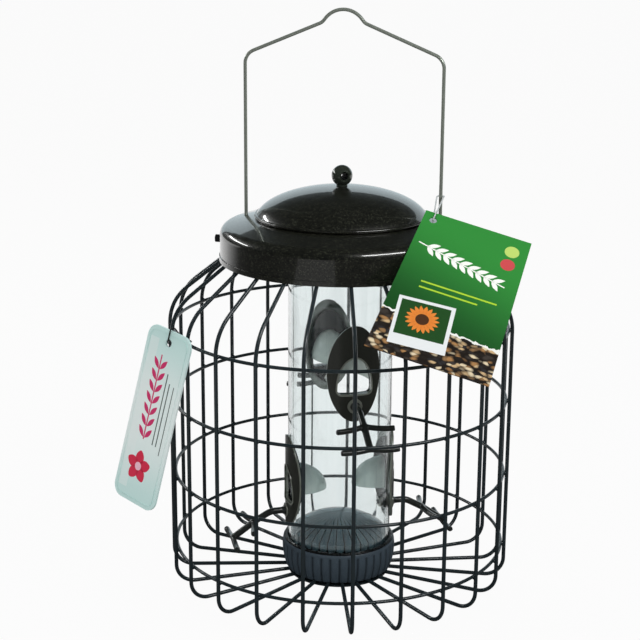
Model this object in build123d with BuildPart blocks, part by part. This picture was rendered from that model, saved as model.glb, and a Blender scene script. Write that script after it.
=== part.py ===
from build123d import *
import math
import os

os.makedirs("parts", exist_ok=True)

# A hanging seed feeder for garden birds inside a round wire cage.
# Lengths are millimetres. The origin is the centre of the bottom plate's underside, +Z is up and
# the handle stands in the XZ plane. Turns are degrees round the axis, from the front (-Y) to +X.

# Clearances and small sizes that many pieces share
cut_over = 1.0            # how far a cut runs past the surface it opens
weld_gap = 0.05           # two welded pieces lie this far apart
seat_gap = 0.3            # a loose piece lies this far from what it rests on
slide_gap = 0.4           # room round a piece that slides or turns

# Cage
wire_d = 2.8
wire_count = 23
wire_turn = 17.5          # turn of the first upright wire
cage_r = 124.0            # centre line of the uprights
slant = 38.5              # degrees that the slanted top rises above level
shoulder_r = 34.0         # bend between upright and slanted top
foot_bend_r = 14.0        # bend between upright and spoke
ring_d = 2.4
lowest_ring_z = 26.9
top_ring_over_bend = 0.3  # the top ring welds on just over the start of the shoulder's bend
ring_height_shares = (0, 0.3386, 0.6772, 1)   # the rings' places from the lowest to the top one
hoop_in_roof = 8.8        # the ring under the wires' top ends lies this far inside the roof's wall
wire_past_hoop = 0.5      # what a wire's top end reaches past the hoop
top_plate_t = 1.2
bottom_plate_r = 37.5
bottom_plate_t = 1.2
spoke_margin = 1.5        # from a spoke's inner end to the bottom plate's edge, inwards

# Clear seed tube
tube_r = 38.1
tube_wall = 2.0
tube_past_plate = 4.45    # the tube's top stands this far above the top plate's underside

# Base that closes the tube
cap_bottom_r = 39.4
cap_belly_r = 42.2
cap_rim_r = 41.4
cap_z = 4.1
cap_h = 22.0
cap_belly_share = 0.68    # height of the widest line as a share of the cap's height
cap_floor_t = 2.0
cap_ledge_t = 1.4
cap_grooves = 38
cap_groove_r = 1.2
cap_groove_depth = 1.0
cap_lip_h = 2.2           # plain band above the grooves
seal_h = 1.4
seal_w = 2.2
seal_edge_r = 0.7
insert_edge_over_cap = 5.9
insert_dome_h = 12.0
insert_wall = 1.6
insert_flutes = 36
flute_r = 0.7

# Feeding ports
port_turns = (28.2, 208.2, -61.8, 118.2)
port_names = ("upper_front", "upper_back", "lower_left", "lower_right")
lower_port_over_cap = 47.1  # from the cap's rim up to the centre of a plate in the lower pair
port_rise = 91.0          # the upper pair lies this far above
plate_half_w = 19.4
plate_half_h = 35.2
plate_t = 2.0
plate_gap = 0.15          # from the tube to the plate
plate_edge_r = 0.8
door_half_w = 12.5
door_h = 26.4
door_arch_h = 22.0
door_corner_r = 3.2
door_drop = 14.9          # from the plate's centre down to the door's sill
door_lip_w = 1.1
door_lip_h = 0.7
boss_drop = 23.5          # from the plate's centre down to the perch bolt
boss_r = 5.4
boss_h = 1.1
collar_r = 3.9
collar_h = 1.6
collar_taper = 20.0       # degrees

# Hoods that keep the seed off the doors
hood_wall = 1.2
hood_depth = 26.0
hood_half_w = 14.2
hood_h = 20.5
hood_lift = 7.7           # from the door's sill up to the hood's lower edge
hood_flange_half_w = 15.4
hood_flange_half_h = 28.0

# Perches and their nuts
stem_d = 5.0
stem_run = 11.0           # level run out of the boss
stem_mid_out = 23.6       # from the boss out to the upper pair of twigs
stem_mid_drop = 7.1
stem_far_out = 39.6       # from the boss out to the lower pair, at the stem's end
stem_far_drop = 18.2
stem_past_twig = 1.5
stem_bend_r = 14.0
twig_d = 4.2
twig_reach = 21.0         # sideways from the stem's middle to a twig's end
twig_out_near = 4.9
twig_out_far = 0.9
twig_drop = 1.0
twig_sag = 0.8            # how far a twig's middle hangs under a straight line
bolt_d = 4.0
bolt_play = 0.25
nut_r = 3.9
nut_h = 3.2
bolt_past_nut = 1.2

# Roof
roof_r = 87.0
roof_t = 0.9
roof_z = 239.5            # lower edge of the wall, where it stands on the slanted wires
roof_wall_h = 23.8
roof_shoulder_r = 7.3
roof_slope_h = 29.9       # from the wall's lower edge up to the end of the slope
roof_seat_h = 31.2        # from the wall's lower edge up to the seat round the mouth
roof_mouth_r = 54.0
roof_seat_w = 3.5
roof_seat_rise_w = 5.5    # width of the gentle rise between the slope and the seat
roof_mouth_drop = 4.5
roof_seat_bend_r = 0.9
roof_mouth_bend_r = 1.1
hem_h = 3.4
hem_t = 0.5

# Lid
lid_edge_in = 0.5         # the lid's rim lies this far inside the end of the roof's slope
lid_t = 0.9
lid_rise = 20.6           # from the middle of its rim bead up to its top
lid_oval_past = 1.2       # the oval that its side follows is this much wider than the bead's middle
bead_r = 1.2
skirt_t = 0.9
skirt_drop = 7.0          # from the roof's seat down to the skirt's lower edge
knob_d = 15.0
knob_neck_d = 8.0
knob_neck_h = 0.2
knob_hole_d = 5.0
knob_countersink_d = 7.2
knob_hole_turn = 30.7
knob_screw_d = 4.0
knob_screw_head_d = 9.0
knob_screw_head_h = 2.6
knob_web = 1.0            # metal between the screw's tip and the cross hole

# Funnel from the roof's mouth down into the tube
funnel_wall = 1.5
funnel_cone_h = 11.0

# Handle
handle_d = 2.5
handle_place_share = 0.347  # where a leg stands between the lid's edge and the roof's wall
handle_foot_h = 9.5       # height of a foot above the roof's lower edge
handle_foot_past = 6.0    # what a foot reaches past the roof's wall
handle_foot_bend = 5.0
handle_corner_h = 143.6   # from the roof's lower edge up to where a leg meets the shoulder's line
handle_slope = 22.4
handle_corner_bend = 10.0
handle_hook_r = 16.5      # round top of the handle
handle_peak_rise = 32.1   # from that point up to the wire's middle at the very top
handle_hook_slope = 52.0
handle_hook_bend = 7.0
handle_hole_play = 0.35
end_cap_d = 5.6
end_cap_groove_d = 4.2
end_cap_shares = (0.26, 0.45)   # where the groove starts and ends along a cap
end_cap_past = 1.2        # what a cap reaches past the foot's end

# Card and tag, each a flat sheet placed by its centre and the turn and tilt of its face
card_top_w = 75.0
card_bottom_w = 83.0
card_h = 126.0
card_t = 0.8
card_hole_r = 2.6
card_hole_in = 7.0
card_past_roof = 37.4     # from the roof's wall out to the card's centre
card_turn = 49.25
card_drop = 0.5           # from the roof's lower edge down to the card's centre
card_face_turn = 22.1
card_face_tilt = 52.4
card_roll = -25.4
tag_w = 42.5
tag_h = 126.8
tag_t = 1.6
tag_corner_r = 8.5
tag_hole_r = 2.8
tag_hole_in = 9.0
tag_off_cage = 23.0       # from the uprights out to the tag's centre
tag_turn = -49.05
tag_drop = 50.7           # from the top ring down to the tag's centre
tag_face_turn = -26.8
tag_face_tilt = 11.0
tag_roll = -8.1
tie_d = 1.0
tie_room = 0.65           # from a tie to the wire it goes round
tie_over_edge = 1.8       # what a tie rises past a sheet's top edge
tie_bend_r = 1.2
tie_wrap_share = 0.9      # bend round a wire as a share of the tie's distance from its middle
card_tie_h = 48.5         # height of the card's tie on the handle above the roof's lower edge
tag_wire = -4             # the tag hangs on this wire, counted from the first
tag_tie_over_ring = 3.4

# Sizes that follow from the ones above
wire_r = wire_d / 2
ring_r = ring_d / 2
stem_r = stem_d / 2
twig_r = twig_d / 2
bolt_r = bolt_d / 2
handle_r = handle_d / 2
handle_hole_r = handle_r + handle_hole_play
tie_r = tie_d / 2
knob_r = knob_d / 2
knob_screw_r = knob_screw_d / 2
tube_bore_r = tube_r - tube_wall
slant_rad = math.radians(slant)
wire_step = 360 / wire_count
roof_in_r = roof_r - roof_t
wire_top_rise = wire_r / math.cos(slant_rad)
corner_z = roof_z - (cage_r - roof_in_r) * math.tan(slant_rad) - wire_top_rise - weld_gap
bend_tangent = shoulder_r * math.tan((math.pi / 2 - slant_rad) / 2)
bend_start_z = corner_z - bend_tangent
hoop_r = roof_r - hoop_in_roof
roof_seat_r = roof_mouth_r + roof_seat_w
roof_slope_r = roof_seat_r + roof_seat_rise_w
roof_slope_z = roof_z + roof_slope_h
roof_seat_z = roof_z + roof_seat_h
lid_r = roof_slope_r - lid_edge_in
handle_x = lid_r + (roof_r - lid_r) * handle_place_share
handle_foot_z = roof_z + handle_foot_h
handle_corner_z = roof_z + handle_corner_h
handle_peak_z = handle_corner_z + handle_peak_rise
card_tie_z = roof_z + card_tie_h


def out_from_axis(turn):
    """Unit vector that points away from the axis at a turn."""
    return Vector(math.sin(math.radians(turn)), -math.cos(math.radians(turn)), 0)


def across(turn):
    """Unit vector that points to the right of someone who looks at the axis from a turn."""
    return Vector(math.cos(math.radians(turn)), math.sin(math.radians(turn)), 0)


def upright_plane(turn):
    """Plane that holds the axis: its x runs outwards and its y runs up."""
    return Plane(origin=(0, 0, 0), x_dir=out_from_axis(turn), z_dir=across(turn) * -1)


def facing_plane(turn, radius, height):
    """Plane square to the outward direction, that faces away from the axis."""
    return Plane(
        origin=out_from_axis(turn) * radius + Vector(0, 0, height),
        x_dir=across(turn),
        z_dir=out_from_axis(turn),
    )


def sheet_plane(radius, turn, height, face_turn, face_tilt, roll):
    """Plane of a flat sheet whose face looks outwards at face_turn and upwards by face_tilt."""
    tilt = math.radians(face_tilt)
    normal = out_from_axis(face_turn) * math.cos(tilt) + Vector(0, 0, math.sin(tilt))
    level = across(face_turn)
    rise = normal.cross(level)
    side = level * math.cos(math.radians(roll)) + rise * math.sin(math.radians(roll))
    return Plane(origin=out_from_axis(turn) * radius + Vector(0, 0, height), x_dir=side, z_dir=normal)


def save(piece, name):
    """Label a finished piece and write its file."""
    piece.part.label = name
    export_step(piece.part, "parts/" + name + ".step")


# Cage wires. Each is one rod: a spoke under the base, an upright and a slanted top.
spoke_end_r = bottom_plate_r - spoke_margin
spoke_end_z = bottom_plate_t + weld_gap + wire_r
foot_centre_r = cage_r - foot_bend_r
foot_centre_z = wire_r + foot_bend_r
foot_run = foot_centre_r - spoke_end_r
foot_rise = foot_centre_z - spoke_end_z
spoke_fall = math.asin(foot_bend_r / math.hypot(foot_run, foot_rise)) - math.atan2(foot_rise, foot_run)
foot_corner_z = spoke_end_z - (cage_r - spoke_end_r) * math.tan(spoke_fall)

# The hoop lies under the slanted wires, square to them, a weld gap away.
hoop_reach = wire_d + weld_gap
hoop_contact_r = hoop_r + hoop_reach * math.sin(slant_rad)
hoop_contact_z = corner_z + (cage_r - hoop_contact_r) * math.tan(slant_rad)
hoop_z = hoop_contact_z - hoop_reach * math.cos(slant_rad)
wire_top_r = hoop_contact_r - wire_past_hoop * math.cos(slant_rad)
wire_top_z = hoop_contact_z + wire_past_hoop * math.sin(slant_rad)

for number in range(wire_count):
    turn = wire_turn + number * wire_step
    with BuildPart() as cage_wire:
        with BuildLine(upright_plane(turn)) as wire_path:
            FilletPolyline(
                (spoke_end_r, spoke_end_z),
                (cage_r, foot_corner_z),
                (cage_r, corner_z),
                (wire_top_r, wire_top_z),
                radius=(foot_bend_r, shoulder_r),
            )
        with BuildSketch(Plane(origin=wire_path.line @ 0, z_dir=wire_path.line % 0)):
            Circle(wire_r)
        sweep(path=wire_path.line)
    save(cage_wire, "cage_wire_%02d" % (number + 1))

# Cage rings, welded inside the uprights. The top one follows the start of the wires' bend.
top_ring_z = bend_start_z + top_ring_over_bend


def upright_inset(height):
    """How far a wire's centre line has bent inwards at a height in its shoulder bend."""
    climb = max(height - bend_start_z, 0)
    return shoulder_r - math.sqrt(shoulder_r**2 - climb**2)


def ring_centre_r(height):
    return cage_r - upright_inset(height) - wire_r - weld_gap - ring_r


for number, share in enumerate(ring_height_shares):
    height = lowest_ring_z + (top_ring_z - lowest_ring_z) * share
    with BuildPart() as cage_ring:
        with BuildSketch(Plane.XZ):
            with Locations((ring_centre_r(height), height)):
                Circle(ring_r)
        revolve(axis=Axis.Z)
    save(cage_ring, "cage_ring_%d" % (number + 1))

# Hoop that ties the wires' top ends together, hidden under the roof
with BuildPart() as top_hoop:
    with BuildSketch(Plane.XZ):
        with Locations((hoop_r, hoop_z)):
            Circle(wire_r)
    revolve(axis=Axis.Z)
save(top_hoop, "top_hoop")

# Annular plate on the hoop, with a hole for the tube
top_plate_z = hoop_z + wire_r + weld_gap
tube_top_z = top_plate_z + tube_past_plate
tube_hole_r = tube_r + slide_gap
with BuildPart() as top_plate:
    with BuildSketch(Plane.XY.offset(top_plate_z)):
        Circle(hoop_r)
        Circle(tube_hole_r, mode=Mode.SUBTRACT)
    extrude(amount=top_plate_t)
save(top_plate, "top_plate")

# Round plate under the spokes, on which the whole feeder can stand
with BuildPart() as bottom_plate:
    with BuildSketch():
        Circle(bottom_plate_r)
    extrude(amount=bottom_plate_t)
save(bottom_plate, "bottom_plate")

# Base cap: a moulded cup with grooved sides for the fingers
cap_bore_r = tube_r + slide_gap
cap_top_z = cap_z + cap_h
cap_belly_z = cap_z + cap_h * cap_belly_share
cap_ledge_r = tube_bore_r
cap_ledge_z = cap_z + cap_floor_t + cap_ledge_t
with BuildPart() as base_cap:
    with BuildSketch(Plane.XZ):
        with BuildLine():
            Line((0, cap_z), (cap_bottom_r, cap_z))
            ThreePointArc(
                (cap_bottom_r, cap_z),
                (cap_belly_r, cap_belly_z),
                (cap_rim_r, cap_top_z),
            )
            Polyline(
                (cap_rim_r, cap_top_z),
                (cap_bore_r, cap_top_z),
                (cap_bore_r, cap_ledge_z),
                (cap_ledge_r, cap_ledge_z),
                (cap_ledge_r, cap_z + cap_floor_t),
                (0, cap_z + cap_floor_t),
                (0, cap_z),
            )
        make_face()
    revolve(axis=Axis.Z)
    with BuildSketch(Plane.XY.offset(cap_z - cut_over)):
        with PolarLocations(cap_belly_r + cap_groove_r - cap_groove_depth, cap_grooves):
            Circle(cap_groove_r)
    extrude(amount=cap_h - cap_lip_h + cut_over, mode=Mode.SUBTRACT)
save(base_cap, "base_cap")

# Soft ring that closes the gap between tube and cap
with BuildPart() as base_seal:
    seal_z = cap_top_z + weld_gap
    with BuildSketch(Plane.XY.offset(seal_z)):
        Circle(tube_r + slide_gap + seal_w)
        Circle(tube_r + slide_gap, mode=Mode.SUBTRACT)
    extrude(amount=seal_h)
    fillet(base_seal.faces().sort_by(Axis.Z)[-1].edges().sort_by(SortBy.RADIUS)[-1:], seal_edge_r)
save(base_seal, "base_seal")

# Fluted dome in the foot of the tube that sends the last seed to the doors
insert_r = tube_bore_r - slide_gap
insert_z = cap_z + cap_floor_t + weld_gap
dome_ball_r = (insert_r**2 + insert_dome_h**2) / (2 * insert_dome_h)
insert_edge_z = cap_top_z + insert_edge_over_cap
dome_ball_z = insert_edge_z + insert_dome_h - dome_ball_r
inner_ball_r = dome_ball_r - insert_wall
inner_edge_r = insert_r - insert_wall
inner_edge_z = dome_ball_z + math.sqrt(inner_ball_r**2 - inner_edge_r**2)
half_r = insert_r / 2
half_z = dome_ball_z + math.sqrt(dome_ball_r**2 - half_r**2)
inner_half_z = dome_ball_z + math.sqrt(inner_ball_r**2 - half_r**2)
with BuildPart() as seed_insert:
    with BuildSketch(Plane.XZ):
        with BuildLine():
            Line((insert_r, insert_z), (insert_r, insert_edge_z))
            ThreePointArc((insert_r, insert_edge_z), (half_r, half_z), (0, insert_edge_z + insert_dome_h))
            Line((0, insert_edge_z + insert_dome_h), (0, dome_ball_z + inner_ball_r))
            ThreePointArc((0, dome_ball_z + inner_ball_r), (half_r, inner_half_z), (inner_edge_r, inner_edge_z))
            Line((inner_edge_r, inner_edge_z), (inner_edge_r, insert_z))
            Line((inner_edge_r, insert_z), (insert_r, insert_z))
        make_face()
    revolve(axis=Axis.Z)
    with BuildSketch(Plane.XY.offset(insert_z - cut_over)):
        with PolarLocations(insert_r, insert_flutes):
            Circle(flute_r)
    extrude(amount=insert_edge_z + insert_dome_h, mode=Mode.SUBTRACT)
save(seed_insert, "seed_insert")

# Feeding doors: an arch with a level sill and rounded lower corners
lower_port_z = cap_top_z + lower_port_over_cap
upper_port_z = lower_port_z + port_rise
port_heights = (upper_port_z, upper_port_z, lower_port_z, lower_port_z)
arch_foot = door_h - door_arch_h


def door_outline(grow):
    """Closed outline of a door, from its sill's middle, grown by a margin all round."""
    with BuildSketch() as outline:
        with Locations((0, arch_foot)):
            Ellipse(door_half_w + grow, door_arch_h + grow)
        with Locations((0, arch_foot)):
            Rectangle(
                2 * (door_half_w + grow + cut_over),
                door_arch_h + grow + cut_over,
                align=(Align.CENTER, Align.MAX),
                mode=Mode.SUBTRACT,
            )
        with Locations((0, -grow)):
            Rectangle(2 * (door_half_w + grow), arch_foot + grow, align=(Align.CENTER, Align.MIN))
        fillet(outline.vertices().group_by(Axis.Y)[0], door_corner_r + grow)
    return outline.sketch


door_shape = door_outline(0)
door_lip_shape = door_outline(door_lip_w)

# Clear tube, open at both ends, with a door and a bolt hole behind each port
tube_z = cap_ledge_z + seat_gap
with BuildPart() as tube:
    with BuildSketch(Plane.XY.offset(tube_z)):
        Circle(tube_r)
        Circle(tube_bore_r, mode=Mode.SUBTRACT)
    extrude(amount=tube_top_z - tube_z)
    for turn, height in zip(port_turns, port_heights):
        with BuildSketch(facing_plane(turn, 0, height - door_drop)):
            add(door_shape)
        extrude(amount=tube_r + cut_over, mode=Mode.SUBTRACT)
        with BuildSketch(facing_plane(turn, 0, height - boss_drop)):
            Circle(bolt_r + bolt_play)
        extrude(amount=tube_r + cut_over, mode=Mode.SUBTRACT)
save(tube, "seed_tube")

# Ports: a cast plate, a hood inside the tube, a perch through both and a nut that clamps them
plate_in_r = tube_r + plate_gap
plate_out_r = plate_in_r + plate_t
hood_out_r = tube_bore_r - plate_gap
hood_in_r = hood_out_r - hood_wall
boss_face_r = plate_out_r + boss_h
nut_face_r = math.sqrt(hood_in_r**2 - nut_r**2) - plate_gap
bolt_tip_r = nut_face_r - nut_h - bolt_past_nut
stem_end_run = stem_far_out - stem_mid_out
stem_end_fall = stem_far_drop - stem_mid_drop
stem_past_share = stem_past_twig / math.hypot(stem_end_run, stem_end_fall)


def curved_shell(inner_r, outer_r, low_z, high_z):
    """Ring between two radii and two heights."""
    with BuildPart() as shell:
        with BuildSketch(Plane.XY.offset(low_z)):
            Circle(outer_r)
            Circle(inner_r, mode=Mode.SUBTRACT)
        extrude(amount=high_z - low_z)
    return shell.part


for name, turn, height in zip(port_names, port_turns, port_heights):
    low_z = height - plate_half_h - cut_over
    high_z = height + plate_half_h + cut_over
    sill_plane = facing_plane(turn, 0, height - door_drop)
    bolt_z = height - boss_drop

    with BuildPart() as door_lip:
        add(curved_shell(plate_in_r, plate_out_r + door_lip_h, low_z, high_z))
        with BuildSketch(sill_plane):
            add(door_lip_shape)
        extrude(amount=plate_out_r + door_lip_h + cut_over, mode=Mode.INTERSECT)

    with BuildPart() as port_plate:
        add(curved_shell(plate_in_r, plate_out_r, low_z, high_z))
        with BuildSketch(facing_plane(turn, 0, height)):
            Ellipse(plate_half_w, plate_half_h)
        extrude(amount=plate_out_r + cut_over, mode=Mode.INTERSECT)
        fillet(port_plate.faces().sort_by(SortBy.AREA)[-1].edges(), plate_edge_r)
        with BuildSketch(facing_plane(turn, plate_in_r + plate_t / 2, bolt_z)):
            Circle(boss_r)
        extrude(amount=boss_face_r - plate_in_r - plate_t / 2)
        add(door_lip.part)
        with BuildSketch(sill_plane):
            add(door_shape)
        extrude(amount=boss_face_r + cut_over, mode=Mode.SUBTRACT)
        with BuildSketch(facing_plane(turn, 0, bolt_z)):
            Circle(bolt_r + bolt_play)
        extrude(amount=boss_face_r + cut_over, mode=Mode.SUBTRACT)
    save(port_plate, "port_plate_" + name)

    # The hood is a quarter of an egg shape that stands on a curved flange round the door.
    edge_z = height - door_drop + hood_lift
    hood_plane = facing_plane(turn, hood_out_r, edge_z)
    outer_egg = hood_plane.location * scale(Sphere(1), by=(hood_half_w, hood_h, hood_depth))
    inner_egg = hood_plane.location * scale(
        Sphere(1), by=(hood_half_w - hood_wall, hood_h - hood_wall, hood_depth - hood_wall)
    )
    with BuildPart() as hood_flange:
        add(curved_shell(hood_in_r, hood_out_r, low_z, high_z))
        with BuildSketch(facing_plane(turn, 0, height)):
            Ellipse(hood_flange_half_w, hood_flange_half_h)
        extrude(amount=plate_out_r, mode=Mode.INTERSECT)
        with BuildSketch(sill_plane):
            add(door_shape)
        extrude(amount=plate_out_r, mode=Mode.SUBTRACT)
        with BuildSketch(facing_plane(turn, 0, bolt_z)):
            Circle(bolt_r + bolt_play)
        extrude(amount=plate_out_r, mode=Mode.SUBTRACT)
    with BuildPart() as port_hood:
        add(outer_egg)
        add(inner_egg, mode=Mode.SUBTRACT)
        with BuildSketch(Plane.XY.offset(edge_z)):
            Circle(hood_out_r)
        extrude(amount=hood_h + cut_over, mode=Mode.INTERSECT)
        add(hood_flange.part)
    save(port_hood, "port_hood_" + name)

    # The perch is cast like a branch: a stem that bends downwards with two crosswise twigs.
    joints = (
        (boss_face_r + stem_mid_out, bolt_z - stem_mid_drop),
        (boss_face_r + stem_far_out, bolt_z - stem_far_drop),
    )
    stem_end = (joints[1][0] + stem_past_share * stem_end_run, joints[1][1] - stem_past_share * stem_end_fall)
    stem_points = ((boss_face_r, bolt_z), (boss_face_r + stem_run, bolt_z), joints[0], stem_end)
    with BuildPart() as perch:
        with BuildLine(upright_plane(turn)) as stem_path:
            FilletPolyline(*stem_points, radius=stem_bend_r)
        with BuildSketch(facing_plane(turn, boss_face_r, bolt_z)):
            Circle(stem_r)
        sweep(path=stem_path.line)
        with BuildSketch(facing_plane(turn, boss_face_r, bolt_z)):
            Circle(collar_r)
        extrude(amount=collar_h, taper=collar_taper)
        with BuildSketch(facing_plane(turn, bolt_tip_r, bolt_z)):
            Circle(bolt_r)
        extrude(amount=boss_face_r - bolt_tip_r + collar_h)
        for joint, twig_out in zip(joints, (twig_out_near, twig_out_far)):
            middle = out_from_axis(turn) * joint[0] + Vector(0, 0, joint[1])
            for side in (-1, 1):
                tip = middle + across(turn) * (side * twig_reach)
                tip += out_from_axis(turn) * twig_out - Vector(0, 0, twig_drop)
                halfway = (middle + tip) * 0.5 - Vector(0, 0, twig_sag)
                with BuildLine() as twig_path:
                    ThreePointArc(middle, halfway, tip)
                with BuildSketch(Plane(origin=middle, z_dir=twig_path.line % 0)):
                    Circle(twig_r)
                sweep(path=twig_path.line)
    save(perch, "perch_" + name)

with BuildPart() as perch_nuts:
    for turn, height in zip(port_turns, port_heights):
        with BuildSketch(facing_plane(turn, nut_face_r - nut_h, height - boss_drop)):
            RegularPolygon(nut_r, 6)
            Circle(bolt_r + weld_gap, mode=Mode.SUBTRACT)
        extrude(amount=nut_h)
save(perch_nuts, "perch_nuts")

# Roof: one pressed steel skin with a hemmed edge that stands on the slanted wires
with BuildPart() as roof:
    with BuildSketch(Plane.XZ):
        with BuildLine():
            FilletPolyline(
                (roof_r, roof_z),
                (roof_r, roof_z + roof_wall_h),
                (roof_slope_r, roof_slope_z),
                (roof_seat_r, roof_seat_z),
                (roof_mouth_r, roof_seat_z),
                (roof_mouth_r, roof_seat_z - roof_mouth_drop),
                radius=(roof_shoulder_r, roof_shoulder_r, roof_seat_bend_r, roof_mouth_bend_r),
            )
            offset(amount=roof_t, side=Side.LEFT)
        make_face()
        with Locations((roof_r, roof_z)):
            Rectangle(hem_t, hem_h, align=(Align.MIN, Align.MIN))
    revolve(axis=Axis.Z)
    for side in (-1, 1):
        with BuildSketch(Plane.XY.offset(handle_foot_z)):
            with Locations((side * handle_x, 0)):
                Circle(handle_hole_r)
        extrude(amount=roof_seat_z - handle_foot_z, mode=Mode.SUBTRACT)
        with BuildSketch(facing_plane(side * 90, handle_x, handle_foot_z)):
            Circle(handle_hole_r)
        extrude(amount=roof_r - handle_x + cut_over, mode=Mode.SUBTRACT)
save(roof, "roof")

# Lid: a domed skin whose rim bead rests on the roof's last slope, with a skirt in the mouth
lid_bead_r = lid_r - bead_r
seat_slope = (roof_seat_z - roof_slope_z) / (roof_slope_r - roof_seat_r)
seat_under_bead_z = roof_slope_z + (roof_slope_r - lid_bead_r) * seat_slope
lid_bead_z = seat_under_bead_z + (seat_gap + bead_r) * math.hypot(1, seat_slope)
lid_top_z = lid_bead_z + lid_rise

# Seen from the side the lid is an oval, steep at the rim and nearly flat on top. Its inner skin
# is the same oval, smaller by the sheet's thickness, down to the height of the bead's middle.
lid_oval_r = lid_bead_r + lid_oval_past
lid_oval_h = lid_rise / (1 - math.sqrt(1 - (lid_bead_r / lid_oval_r) ** 2))
lid_oval_z = lid_top_z - lid_oval_h
lid_in_r = lid_oval_r - lid_t
lid_in_h = lid_oval_h - lid_t
lid_edge_turn = math.degrees(math.acos((lid_bead_z - lid_oval_z) / lid_oval_h))
lid_in_edge_turn = math.degrees(math.acos((lid_bead_z - lid_oval_z) / lid_in_h))


def under_lid(radius):
    """Height of the lid's inner skin at a distance from the axis."""
    return lid_oval_z + lid_in_h * math.sqrt(1 - (radius / lid_in_r) ** 2)


with BuildPart() as lid_dome:
    with BuildSketch(Plane.XZ):
        with BuildLine():
            outer_skin = EllipticalCenterArc(
                (0, lid_oval_z), lid_oval_r, lid_oval_h, 90 - lid_edge_turn, arc_size=lid_edge_turn
            )
            inner_skin = EllipticalCenterArc(
                (0, lid_oval_z), lid_in_r, lid_in_h, 90 - lid_in_edge_turn, arc_size=lid_in_edge_turn
            )
            Line(outer_skin @ 1, inner_skin @ 1)
            Line(outer_skin @ 0, inner_skin @ 0)
        make_face()
        with Locations((lid_bead_r, lid_bead_z)):
            Circle(bead_r)
    revolve(axis=Axis.Z)
    with BuildSketch(Plane.XY.offset(lid_bead_z)):
        Circle(knob_screw_r + bolt_play)
    extrude(amount=lid_rise + cut_over, mode=Mode.SUBTRACT)
save(lid_dome, "lid_dome")

skirt_r = roof_mouth_r - slide_gap
skirt_z = roof_seat_z - skirt_drop
with BuildPart() as lid_skirt:
    with BuildSketch(Plane.XY.offset(skirt_z)):
        Circle(skirt_r)
        Circle(skirt_r - skirt_t, mode=Mode.SUBTRACT)
    extrude(amount=under_lid(skirt_r) - weld_gap - skirt_z)
save(lid_skirt, "lid_skirt")

# Knob: a ball with a countersunk cross hole on a short neck, screwed on from below
knob_foot_z = lid_top_z + weld_gap
knob_z = knob_foot_z + knob_neck_h + knob_r
knob_hole_r = knob_hole_d / 2
countersink_r = knob_countersink_d / 2
countersink_out = math.sqrt(knob_r**2 - countersink_r**2)
screw_bore_top_z = knob_z - knob_hole_r - knob_web
with BuildPart() as knob_ball:
    with Locations((0, 0, knob_z)):
        Sphere(knob_r)
    with BuildSketch(Plane.XY.offset(knob_foot_z)):
        Circle(knob_neck_d / 2)
    extrude(amount=knob_neck_h + knob_r)
    with BuildSketch(Plane.XY.offset(knob_foot_z)):
        Circle(knob_screw_r + weld_gap)
    extrude(amount=screw_bore_top_z - knob_foot_z, mode=Mode.SUBTRACT)
    with BuildSketch(facing_plane(knob_hole_turn, 0, knob_z)):
        Circle(knob_hole_r)
    extrude(amount=knob_r + cut_over, both=True, mode=Mode.SUBTRACT)
    with BuildSketch(facing_plane(knob_hole_turn, countersink_out, knob_z)):
        Circle(countersink_r)
    extrude(amount=cut_over, mode=Mode.SUBTRACT)
    with Locations(facing_plane(knob_hole_turn, countersink_out, knob_z)):
        Cone(
            knob_hole_r,
            countersink_r,
            countersink_r - knob_hole_r,
            align=(Align.CENTER, Align.CENTER, Align.MAX),
            mode=Mode.SUBTRACT,
        )
save(knob_ball, "knob_ball")

screw_head_r = knob_screw_head_d / 2
screw_head_top_z = under_lid(screw_head_r) - weld_gap
with BuildPart() as knob_screw:
    with BuildSketch(Plane.XY.offset(screw_head_top_z)):
        Circle(screw_head_r)
    extrude(amount=-knob_screw_head_h)
    with BuildSketch(Plane.XY.offset(screw_head_top_z)):
        Circle(knob_screw_r)
    extrude(amount=screw_bore_top_z - seat_gap - screw_head_top_z)
save(knob_screw, "knob_screw")

# Funnel: a collar under the roof's mouth, a cone, and a skirt round the tube's top
funnel_z = tube_top_z + seat_gap
funnel_cone_top_z = funnel_z + funnel_cone_h
funnel_slope = funnel_cone_h / (roof_mouth_r - tube_bore_r)
funnel_drop = funnel_wall * math.hypot(1, funnel_slope)
funnel_skirt_r = tube_r + slide_gap
funnel_skirt_out_r = funnel_skirt_r + funnel_wall
funnel_out_r = roof_mouth_r + funnel_wall
funnel_rim_z = roof_seat_z - roof_mouth_drop - seat_gap
funnel_skirt_z = top_plate_z + top_plate_t + seat_gap
with BuildPart() as fill_funnel:
    with BuildSketch(Plane.XZ):
        with BuildLine():
            Polyline(
                (tube_bore_r, funnel_z),
                (roof_mouth_r, funnel_cone_top_z),
                (roof_mouth_r, funnel_rim_z),
                (funnel_out_r, funnel_rim_z),
                (funnel_out_r, funnel_cone_top_z + funnel_wall * funnel_slope - funnel_drop),
                (
                    funnel_skirt_out_r,
                    funnel_z + (funnel_skirt_out_r - tube_bore_r) * funnel_slope - funnel_drop,
                ),
                (funnel_skirt_out_r, funnel_skirt_z),
                (funnel_skirt_r, funnel_skirt_z),
                (funnel_skirt_r, funnel_z),
                close=True,
            )
        make_face()
    revolve(axis=Axis.Z)
save(fill_funnel, "fill_funnel")

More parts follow.
